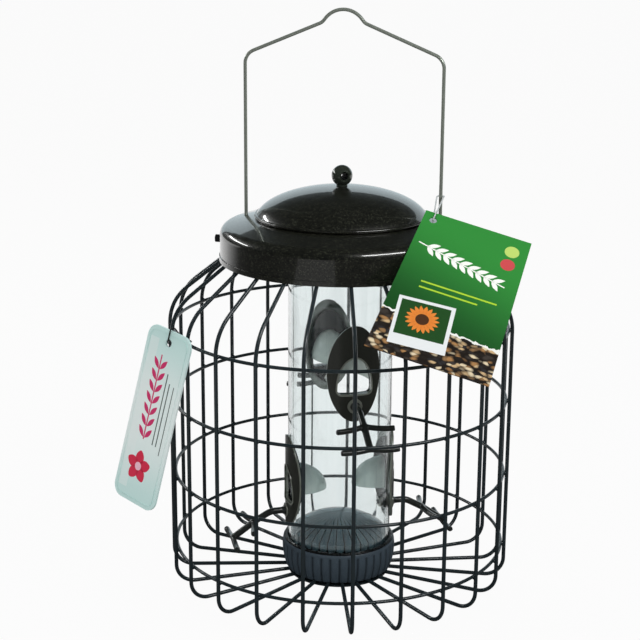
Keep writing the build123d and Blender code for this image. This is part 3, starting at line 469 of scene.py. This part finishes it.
# Painted shade: the flange ring near the tube's wall turns near black.
flange_shade = add(tree, "ShaderNodeMapRange", {"Value": spread.outputs["Value"],
                                          "From Min": tube_out_r - flange_from,
                                          "From Max": tube_out_r - flange_to})
tone = add(tree, "ShaderNodeMix", {0: flange_shade.outputs[0], 6: tone.outputs[2], 7: linear("#0f181b")},
           data_type="RGBA")
gloss = add(tree, "ShaderNodeMapRange", {"Value": flow.outputs["Fac"], "To Min": 0.14, "To Max": 0.3})
tree.links.new(tone.outputs[2], shader.inputs["Base Color"])
tree.links.new(gloss.outputs[0], shader.inputs["Roughness"])
shader.inputs["IOR"].default_value = 1.5
shader.inputs["Transmission Weight"].default_value = 0.4
paint(smoke, *["port_hood_" + port for port in ports])


# Base cap. A cup moulded in blue charcoal plastic, its grip 38 soft ribs with narrow grooves between
# them; a fine spark texture from the mould dulls the ribs. The tube stands in it.
cap_low, cap_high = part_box("base_cap")
cap_h = cap_high.z - cap_low.z
rib_count, rib_steps, groove_depth = 38, 12, 0.0011
plain_lip = 0.003
charcoal, tree, shader = new_material("moulded_blue_charcoal_abs")
spot = add(tree, "ShaderNodeTexCoord")
grain = add(tree, "ShaderNodeTexNoise", {"Vector": spot.outputs["Object"], "Scale": 1 / 0.0006, "Detail": 2})
tone = add(tree, "ShaderNodeMix", {0: grain.outputs["Fac"], 6: linear("#303b44"), 7: linear("#4c5a65")},
           data_type="RGBA")
part = add(tree, "ShaderNodeSeparateXYZ", {0: spot.outputs["Object"]})
turn = add(tree, "ShaderNodeMath", {0: part.outputs["Y"], 1: part.outputs["X"]}, operation="ARCTAN2")
turn = add(tree, "ShaderNodeMath", {0: turn.outputs[0], 1: rib_count / math.tau, 2: rib_count / 2},
           operation="MULTIPLY_ADD")
turn = add(tree, "ShaderNodeMath", {0: turn.outputs[0]}, operation="FRACT")
# Painted shade: the grooves between the ribs turn darker, below the plain lip.
groove_shade = add(tree, "ShaderNodeMath", {0: turn.outputs[0], 1: 0.5}, operation="SUBTRACT")
groove_shade = add(tree, "ShaderNodeMath", {0: groove_shade.outputs[0]}, operation="ABSOLUTE")
groove_shade = add(tree, "ShaderNodeMapRange", {"Value": groove_shade.outputs[0], "From Min": 0.28, "From Max": 0.48,
                                        "To Max": 0.5})
low = add(tree, "ShaderNodeMath", {0: part.outputs["Z"], 1: cap_high.z - plain_lip},
          operation="LESS_THAN")
groove_shade = add(tree, "ShaderNodeMath", {0: groove_shade.outputs[0], 1: low.outputs[0]}, operation="MULTIPLY")
tone = add(tree, "ShaderNodeMix", {0: groove_shade.outputs[0], 6: tone.outputs[2], 7: linear("#0c1114")},
           data_type="RGBA")
bump = add(tree, "ShaderNodeBump", {"Height": grain.outputs["Fac"], "Strength": 0.12, "Distance": 0.0001})
tree.links.new(tone.outputs[2], shader.inputs["Base Color"])
tree.links.new(bump.outputs[0], shader.inputs["Normal"])
shader.inputs["Roughness"].default_value = 0.4


def next_ring(bm, edges, wide, up):
    """Draws the open edges of a round wall on to a ring of this radius and height."""
    made = bmesh.ops.extrude_edge_only(bm, edges=edges)["geom"]
    for v in made:
        if isinstance(v, bmesh.types.BMVert):
            v.co = v.co.xy.normalized().to_3d() * wide
            v.co.z = up
    return [e for e in made if isinstance(e, bmesh.types.BMEdge)]


# The outer wall as (share of the height, radius), then the wall's inside as (radius, height).
belly = ((0.0, 0.0392), (0.02, 0.0395), (0.14, 0.0403), (0.3, 0.0412), (0.45, 0.0418), (0.6, 0.0421),
         (0.72, 0.0422), (0.84, 0.04195), (0.885, 0.04185), (0.905, 0.0418), (0.98, 0.0415), (1.0, 0.0412))
inside = ((0.0389, cap_high.z), (0.0385, cap_high.z - 0.0004), (0.0385, cap_low.z + 0.0034),
          (0.0361, cap_low.z + 0.0034), (0.0361, cap_low.z + 0.002))
rib_squareness, ribs_end, ribs_fade = 2.6, 0.9, 0.03
bm = bmesh.new()
rim = bmesh.ops.create_circle(bm, segments=rib_count * rib_steps, radius=belly[0][1])["verts"]
bmesh.ops.translate(bm, verts=rim, vec=(0, 0, cap_low.z))
edges = foot_edges = list(bm.edges)
for share_up, wide in belly[1:]:
    edges = next_ring(bm, edges, wide, cap_low.z + cap_h * share_up)
for v in bm.verts:
    share_up = (v.co.z - cap_low.z) / cap_h
    across_rib = (math.atan2(v.co.y, v.co.x) / math.tau * rib_count) % 1 * 2 - 1
    hollow = 1 - math.sqrt(max(0, 1 - abs(across_rib) ** rib_squareness))
    fade = min(1, max(0, (ribs_end - share_up) / ribs_fade))
    v.co.xy *= 1 - hollow * groove_depth * fade / v.co.xy.length
for wide, up in inside:
    edges = next_ring(bm, edges, wide, up)
bmesh.ops.edgeloop_fill(bm, edges=edges)
bmesh.ops.edgeloop_fill(bm, edges=foot_edges)
bmesh.ops.recalc_face_normals(bm, faces=bm.faces)
ribbed = show("ribbed_base_cap", bm, charcoal, "base")
ribbed.data.set_sharp_from_angle(angle=math.radians(40))
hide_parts("base_cap")


# Seal. A soft ring of black rubber, shiny on its rounded edge where it catches a thin line of light.
rubber, tree, shader = new_material("moulded_black_rubber")
spot = add(tree, "ShaderNodeTexCoord")
dust = add(tree, "ShaderNodeTexNoise", {"Vector": spot.outputs["Object"], "Scale": 1 / 0.0025, "Detail": 3})
tone = add(tree, "ShaderNodeMix", {0: dust.outputs["Fac"], 6: linear("#090a0a"), 7: linear("#151617")},
           data_type="RGBA")
gloss = add(tree, "ShaderNodeMapRange", {"Value": dust.outputs["Fac"], "To Min": 0.2, "To Max": 0.36})
tree.links.new(tone.outputs[2], shader.inputs["Base Color"])
tree.links.new(gloss.outputs[0], shader.inputs["Roughness"])
paint(rubber, "base_seal")


# Seed insert. A fluted dome moulded in clear plastic with a slate tint; its 36 flutes are painted as
# thin dark lines through the tube, a painted shade along each flute.
flute_count, flute_shade_half = 36, 0.07
slate, tree, shader = new_material("moulded_slate_tinted_styrene")
spot = add(tree, "ShaderNodeTexCoord")
part = add(tree, "ShaderNodeSeparateXYZ", {0: spot.outputs["Object"]})
turn = add(tree, "ShaderNodeMath", {0: part.outputs["Y"], 1: part.outputs["X"]}, operation="ARCTAN2")
turn = add(tree, "ShaderNodeMath", {0: turn.outputs[0], 1: flute_count / math.tau,
                                    2: flute_count / 2 + 0.5}, operation="MULTIPLY_ADD")
turn = add(tree, "ShaderNodeMath", {0: turn.outputs[0]}, operation="FRACT")
# Painted shade: a thin dark line along each flute.
line = add(tree, "ShaderNodeMath", {0: turn.outputs[0], 1: 0.5, 2: flute_shade_half}, operation="COMPARE")
tone = add(tree, "ShaderNodeMix", {0: line.outputs[0], 6: linear("#6c8189"), 7: linear("#11181b")},
           data_type="RGBA")
tree.links.new(tone.outputs[2], shader.inputs["Base Color"])
shader.inputs["Roughness"].default_value = 0.12
shader.inputs["IOR"].default_value = 1.45
shader.inputs["Transmission Weight"].default_value = 0.4
paint(slate, "seed_insert")


# Card. Coated board, printed on its face: a green ground that darkens towards its foot, a band of
# mixed seed with a torn white edge, and a plain garden design. It hangs by a clear line.
def sheet_place(out_mm, turn, up_mm, face_turn, face_tilt, roll):
    """Where a flat sheet lies: its x runs to the right on its face, its y up and its z out."""
    turn, face_turn, face_tilt, roll = [math.radians(v) for v in (turn, face_turn, face_tilt, roll)]
    normal = Vector((math.sin(face_turn) * math.cos(face_tilt), -math.cos(face_turn) * math.cos(face_tilt),
                     math.sin(face_tilt)))
    flat = Vector((math.cos(face_turn), math.sin(face_turn), 0))
    side = flat * math.cos(roll) + normal.cross(flat) * math.sin(roll)
    place = Matrix((side, normal.cross(side), normal)).transposed().to_4x4()
    place.translation = Vector((math.sin(turn) * out_mm, -math.cos(turn) * out_mm, up_mm)) / 1000
    return place


def raise_flat(bm, height):
    """Raises flat faces to a closed plate of this height."""
    raised = bmesh.ops.extrude_face_region(bm, geom=bm.faces)["geom"]
    bmesh.ops.translate(bm, verts=[v for v in raised if isinstance(v, bmesh.types.BMVert)],
                        vec=(0, 0, height))
    bmesh.ops.recalc_face_normals(bm, faces=bm.faces)


def lay_plan(bm):
    """Lays a sheet's colours out flat on it, ten units to the metre."""
    plan = bm.loops.layers.uv.new("plan")
    for face in bm.faces:
        for corner in face.loops:
            corner[plan].uv = corner.vert.co.xy * 10


def sheet_with_hole(corners, hole, hole_r, thickness):
    """A flat outline with one round hole, raised to a plate with its middle plane at z = 0."""
    bm = bmesh.new()
    outline = [bm.verts.new((x, y, -thickness / 2)) for x, y in corners]
    for here, there in zip(outline, outline[1:] + outline[:1]):
        bm.edges.new((here, there))
    ring = bmesh.ops.create_circle(bm, segments=28, radius=hole_r)
    bmesh.ops.translate(bm, verts=ring["verts"], vec=(*hole, -thickness / 2))
    bmesh.ops.triangle_fill(bm, use_beauty=True, edges=bm.edges)
    raise_flat(bm, thickness)
    lay_plan(bm)
    return bm


card_t, ink_t = 0.0008, 0.00006
green_foot, torn_foot, tear_depth, tear_slope = -0.27, -0.285, 0.07, 0.09
seed_scale, jumble_share = 23, 0.06
card_corners = ((-0.0375, 0.063), (0.0375, 0.063), (0.0415, -0.063), (-0.0415, -0.063))
card_hole, card_hole_r = (-0.0305, 0.056), 0.0026
card_place = sheet_place(124.4, 49.25, 239.0, 22.1, 52.4, -25.4)
board, tree, shader = new_material("printed_coated_board")
plan = add(tree, "ShaderNodeUVMap", uv_map="plan")
part = add(tree, "ShaderNodeSeparateXYZ", {0: plan.outputs[0]})
slope = add(tree, "ShaderNodeMath", {0: part.outputs["X"], 1: 0.35, 2: part.outputs["Y"]},
            operation="MULTIPLY_ADD")
shade = add(tree, "ShaderNodeMapRange", {"Value": slope.outputs[0], "From Min": -0.4, "From Max": 0.5},
            interpolation_type="SMOOTHSTEP")
green = add(tree, "ShaderNodeMix", {0: shade.outputs[0], 6: linear("#0b4a16"), 7: linear("#2a8a33")},
            data_type="RGBA")
turned = add(tree, "ShaderNodeMapping", {"Vector": plan.outputs[0], "Rotation": (0, 0, 0.6),
                                         "Scale": (1, 1.7, 1)})
jumble = add(tree, "ShaderNodeTexNoise", {"Vector": turned.outputs[0], "Scale": 9, "Detail": 1})
jumbled = add(tree, "ShaderNodeMix", {0: jumble_share, 6: turned.outputs[0], 7: jumble.outputs["Color"]},
              data_type="RGBA")
seed = add(tree, "ShaderNodeTexVoronoi", {"Vector": jumbled.outputs[2], "Scale": seed_scale})
kind = add(tree, "ShaderNodeSeparateColor", {0: seed.outputs["Color"]})
husk = add(tree, "ShaderNodeValToRGB", {0: kind.outputs[0]})
husk.color_ramp.interpolation = "CONSTANT"
for stop, code in ((0.18, "#8b6a44"), (0.36, "#c6a87c"), (0.5, "#3a332e"), (0.62, "#d9c8a6"),
                   (0.76, "#a27747"), (0.88, "#2b2a2c")):
    husk.color_ramp.elements.new(stop).color = linear(code)
husk.color_ramp.elements[0].color = linear("#231d18")
husk.color_ramp.elements[-1].color = linear("#b9986a")
gap = add(tree, "ShaderNodeMapRange", {"Value": seed.outputs["Distance"], "From Min": 0.3, "From Max": 0.72,
                                       "To Min": 0.0, "To Max": 1.0})
seeds = add(tree, "ShaderNodeMix", {0: gap.outputs[0], 6: husk.outputs[0], 7: linear("#1b140e")},
            data_type="RGBA")
tear = add(tree, "ShaderNodeTexNoise", {"Vector": plan.outputs[0], "Scale": 16, "Detail": 4})
edge = add(tree, "ShaderNodeMath", {0: tear.outputs["Fac"], 1: tear_depth, 2: part.outputs["Y"]},
           operation="MULTIPLY_ADD")
edge = add(tree, "ShaderNodeMath", {0: part.outputs["X"], 1: tear_slope, 2: edge.outputs[0]},
           operation="MULTIPLY_ADD")
above = add(tree, "ShaderNodeMath", {0: edge.outputs[0], 1: green_foot}, operation="GREATER_THAN")
torn = add(tree, "ShaderNodeMath", {0: edge.outputs[0], 1: torn_foot}, operation="GREATER_THAN")
lower = add(tree, "ShaderNodeMix", {0: torn.outputs[0], 6: seeds.outputs[2], 7: linear("#e9ebe6")},
            data_type="RGBA")
face = add(tree, "ShaderNodeMix", {0: above.outputs[0], 6: lower.outputs[2], 7: green.outputs[2]},
           data_type="RGBA")
tree.links.new(face.outputs[2], shader.inputs["Base Color"])
shader.inputs["Roughness"].default_value = 0.42
shader.inputs["Coat Weight"].default_value = 0.12
shader.inputs["Coat Roughness"].default_value = 0.2
bm = sheet_with_hole(card_corners, card_hole, card_hole_r, card_t)
bm.transform(card_place)
card = show("board_card", bm, board, "card", smooth=False)
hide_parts("hang_card")


def flat_print(name, code, shapes, sheet, base, body):
    """Shapes of ink on a sheet, each (sides, width, height, x, y, turn, pinch) in millimetres."""
    ink, _, shader = new_material(name + "_ink")
    shader.inputs["Base Color"].default_value = linear(code)
    shader.inputs["Roughness"].default_value = 0.36
    bm = bmesh.new()
    for sides, width, height, x, y, turn, pinch in shapes:
        made = bmesh.ops.create_circle(bm, cap_ends=True, segments=sides, radius=1)["verts"]
        if sides == 4:
            bmesh.ops.rotate(bm, verts=made, matrix=Matrix.Rotation(math.pi / 4, 3, "Z"))
            bmesh.ops.scale(bm, verts=made, vec=(math.sqrt(2), math.sqrt(2), 1))
        for v in made:
            v.co.x *= 1 - pinch * v.co.y ** 2
        bmesh.ops.scale(bm, verts=made, vec=(width / 2000, height / 2000, 1))
        bmesh.ops.rotate(bm, verts=made, matrix=Matrix.Rotation(math.radians(turn), 3, "Z"))
        bmesh.ops.translate(bm, verts=made, vec=(x / 1000, y / 1000, base))
    raise_flat(bm, ink_t)
    bm.transform(sheet)
    show(name, bm, ink, body, smooth=False)


def petal_ring(count, middle_x, middle_y, reach, sides, width, height, pinch):
    """Petals round a middle, as shapes of ink."""
    turns = [number * 360 / count for number in range(count)]
    return [(sides, width, height, middle_x - reach * math.sin(math.radians(turn)),
             middle_y + reach * math.cos(math.radians(turn)), turn, pinch) for turn in turns]


# The ear of grain: a stem with pairs of husks along it, in millimetres and degrees.
stem_x, stem_y, stem_turn = -2, 26, -14
husk_pairs, first_husk, husk_step, husk_turn, husk_reach = 9, -26, 6.2, 38, 4.3
ear = [(4, 66, 0.9, stem_x, stem_y, stem_turn, 0)]
for number in range(husk_pairs):
    along = first_husk + number * husk_step
    joint_x = stem_x + along * math.cos(math.radians(stem_turn))
    joint_y = stem_y + along * math.sin(math.radians(stem_turn))
    for side in (-1, 1):
        turn = stem_turn - 90 - side * husk_turn
        ear.append((16, 3.4, 9.5, joint_x + husk_reach * math.cos(math.radians(turn + 90)),
                    joint_y + husk_reach * math.sin(math.radians(turn + 90)), turn, 0.8))
# The card's prints: piece, colour, layer and shapes.
card_prints = (
    ("card_ear_of_grain", "#f2f4ee", 0, ear),
    ("card_rules", "#a9cf2e", 0, [(4, 52, 1.3, 3, 2, 0, 0), (4, 40, 1.3, -3, -3, 0, 0)]),
    ("card_lime_dot", "#b9d46a", 0, [(24, 10, 10, 27, 50, 0, 0)]),
    ("card_red_dot", "#c8474b", 0, [(24, 10, 10, 27, 38, 0, 0)]),
    ("card_snapshot_border", "#dfe3e4", 0, [(4, 38, 40, -12, -33, 5, 0)]),
    ("card_snapshot", "#1d4a1d", 1, [(4, 33, 29, -12.4, -30, 5, 0)]),
    ("card_flower_petals", "#e0812d", 2, petal_ring(18, -13, -29, 7.2, 12, 3.0, 8.4, 0.6)),
    ("card_flower_disc", "#4a2c16", 3, [(24, 9, 9, -13, -29, 0, 0)]),
)
on_card = card_t / 2 - ink_t / 2
for name, code, layer, shapes in card_prints:
    flat_print(name, code, shapes, card_place, on_card + layer * ink_t, "card")

clear_line, _, shader = new_material("drawn_clear_nylon")
shader.inputs["Base Color"].default_value = linear("#d8dcdc")
shader.inputs["Roughness"].default_value = 0.3
shader.inputs["Transmission Weight"].default_value = 0.4
paint(clear_line, "card_tie")


# Tag. A mint plate of moulded gloss plastic with rounded corners, a raised line round its face and a
# plain garden print. It hangs on a loop of the same black vinyl as the soft parts.
def rounded_corners(width, height, radius, steps=10):
    """Outline of a rectangle with rounded corners, in millimetres, given back in metres."""
    points = []
    for number, (sx, sy) in enumerate(((1, 1), (-1, 1), (-1, -1), (1, -1))):
        for step in range(steps + 1):
            angle = math.radians(90 * (number + step / steps))
            points.append(((sx * (width / 2 - radius) + radius * math.cos(angle)) / 1000,
                           (sy * (height / 2 - radius) + radius * math.sin(angle)) / 1000))
    return points


tag_t = 0.0016
tag_place = sheet_place(147.0, -49.05, 140.7, -26.8, 11.0, -8.1)
tag_outline, tag_hole, tag_hole_r = rounded_corners(42.5, 126.8, 8.5), (0, 0.0544), 0.0028
edge_r, edge_steps = 0.0004, 3
sheen_middle, sheen_half, sheen_end, sheen_share = -0.135, 0.042, 0.55, 0.45
mint, tree, shader = new_material("moulded_mint_gloss_plastic")
plan = add(tree, "ShaderNodeUVMap", uv_map="plan")
part = add(tree, "ShaderNodeSeparateXYZ", {0: plan.outputs[0]})
middle = add(tree, "ShaderNodeMath", {0: part.outputs["Y"]}, operation="ABSOLUTE")
pale = add(tree, "ShaderNodeMapRange", {"Value": middle.outputs[0], "From Min": 0.12, "From Max": 0.62,
                                        "To Min": 1, "To Max": 0}, interpolation_type="SMOOTHSTEP")
tone = add(tree, "ShaderNodeMix", {0: pale.outputs[0], 6: linear("#cfeeea"), 7: linear("#effbf9")},
           data_type="RGBA")
# A painted highlight: a paler sheen band runs down left of the middle, short of the ends.
sheen = add(tree, "ShaderNodeMath", {0: part.outputs["X"], 1: sheen_middle, 2: sheen_half},
            operation="COMPARE")
ends = add(tree, "ShaderNodeMath", {0: middle.outputs[0], 1: sheen_end}, operation="LESS_THAN")
sheen = add(tree, "ShaderNodeMath", {0: sheen.outputs[0], 1: ends.outputs[0]}, operation="MULTIPLY")
sheen = add(tree, "ShaderNodeMath", {0: sheen.outputs[0], 1: sheen_share}, operation="MULTIPLY")
tone = add(tree, "ShaderNodeMix", {0: sheen.outputs[0], 6: tone.outputs[2], 7: linear("#f2fbf9")},
           data_type="RGBA")
tree.links.new(tone.outputs[2], shader.inputs["Base Color"])
shader.inputs["Roughness"].default_value = 0.34
shader.inputs["Coat Weight"].default_value = 0.2
bm = sheet_with_hole(tag_outline, tag_hole, tag_hole_r, tag_t)
bm.transform(tag_place)
tag = show("mint_tag", bm, mint, "tag", smooth=False)
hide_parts("plastic_tag")
bevel = tag.modifiers.new("rounded_edge", "BEVEL")
bevel.width = edge_r
bevel.segments = edge_steps

# The raised line follows the tag's edge a little way in.
line_sunk, line_wide, line_high = 0.00002, 0.0006, 0.0003
bm = bmesh.new()
line = [bm.verts.new((x, y, tag_t / 2 - line_sunk)) for x, y in rounded_corners(36.5, 120.8, 5.5)]
bm.faces.new(line)
bmesh.ops.inset_region(bm, faces=bm.faces, use_boundary=True, use_even_offset=True, thickness=line_wide,
                       depth=0)
inner = max(bm.faces, key=lambda face: len(face.verts))
bmesh.ops.delete(bm, geom=[inner], context="FACES_ONLY")
raise_flat(bm, line_high)
lay_plan(bm)
bm.transform(tag_place)
show("tag_raised_line", bm, mint, "tag", smooth=False)

# The sprig stands upright, its leaves in pairs.
stem_x, leaf_pairs, first_leaf, leaf_step, leaf_out, leaf_turn = -3.5, 7, -12, 8.4, 3.6, 38
sprig = [(4, 1.1, 62, stem_x, 14, 0, 0)]
for number in range(leaf_pairs):
    for side in (-1, 1):
        sprig.append((14, 3.6, 9.4, stem_x + side * leaf_out, first_leaf + number * leaf_step,
                      -side * leaf_turn, 0.7))
tag_prints = (
    ("tag_sprig", "#d6336f", 0, sprig),
    ("tag_rules", "#4c5a58", 0, [(4, 0.9, 52, 6, 8, 0, 0), (4, 0.9, 46, 9.5, 5, 0, 0),
                                 (4, 0.7, 50, 14, 2, 0, 0)]),
    ("tag_blossom", "#dc2f4f", 0, petal_ring(5, -2.5, -37, 6.2, 16, 8.2, 11, 0.35)),
    ("tag_blossom_middle", "#f6c3d3", 1, [(24, 6, 6, -2.5, -37, 0, 0)]),
)
on_tag = tag_t / 2 - ink_t / 2
for name, code, layer, shapes in tag_prints:
    flat_print(name, code, shapes, tag_place, on_tag + layer * ink_t, "tag")
paint(soft_black, "tag_tie")
